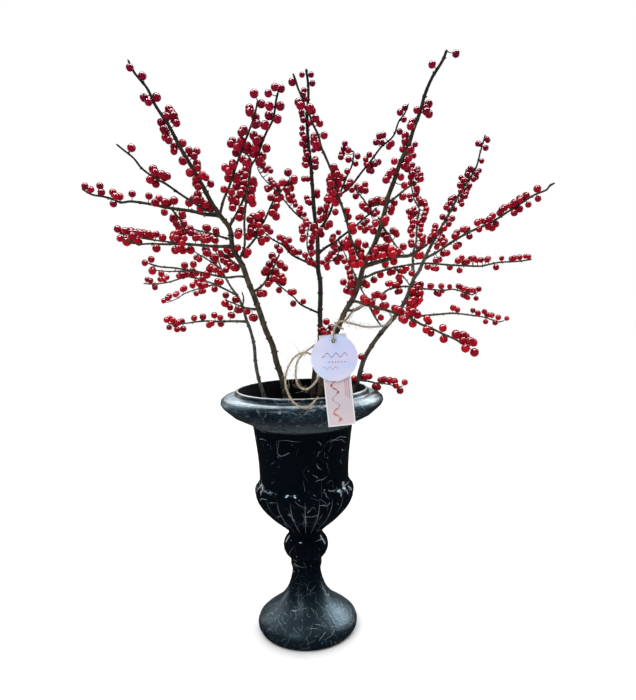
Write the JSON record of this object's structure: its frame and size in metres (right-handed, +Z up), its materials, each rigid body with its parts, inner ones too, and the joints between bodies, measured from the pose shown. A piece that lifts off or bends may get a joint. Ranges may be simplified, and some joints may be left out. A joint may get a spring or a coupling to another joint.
{
  "type": "berried holly branches in an urn",
  "caption": "Cut leafless holly branches dense with red berries, standing in water in a dark gadrooned pedestal urn, with two blank paper tags on jute twine.",
  "frame": {"origin": "middle of the underside of the urn's foot", "axes": "+Z up along the urn's axis, the front with the tags towards -Y"},
  "size_m": [0.5753, 0.4369, 0.7532],
  "materials": {
    "urn": "very dark blue-black gloss glaze with thin pale marble veins",
    "water": "clear still water",
    "berries": "glossy red fruit on brown-grey bark",
    "bark": "smooth brown-grey bark with pale pores",
    "twine": "hairy natural jute",
    "tag_card": "matte pale card"
  },
  "bodies": {
    "root": {"urn": "urn", "water": "water", "branch_left": "berries", "branch_left_back": "berries", "branch_middle": "berries", "branch_right": "berries", "branch_right_back": "berries", "twine": "twine", "round_tag": "tag_card", "long_tag": "tag_card"}
  },
  "joints": []
}
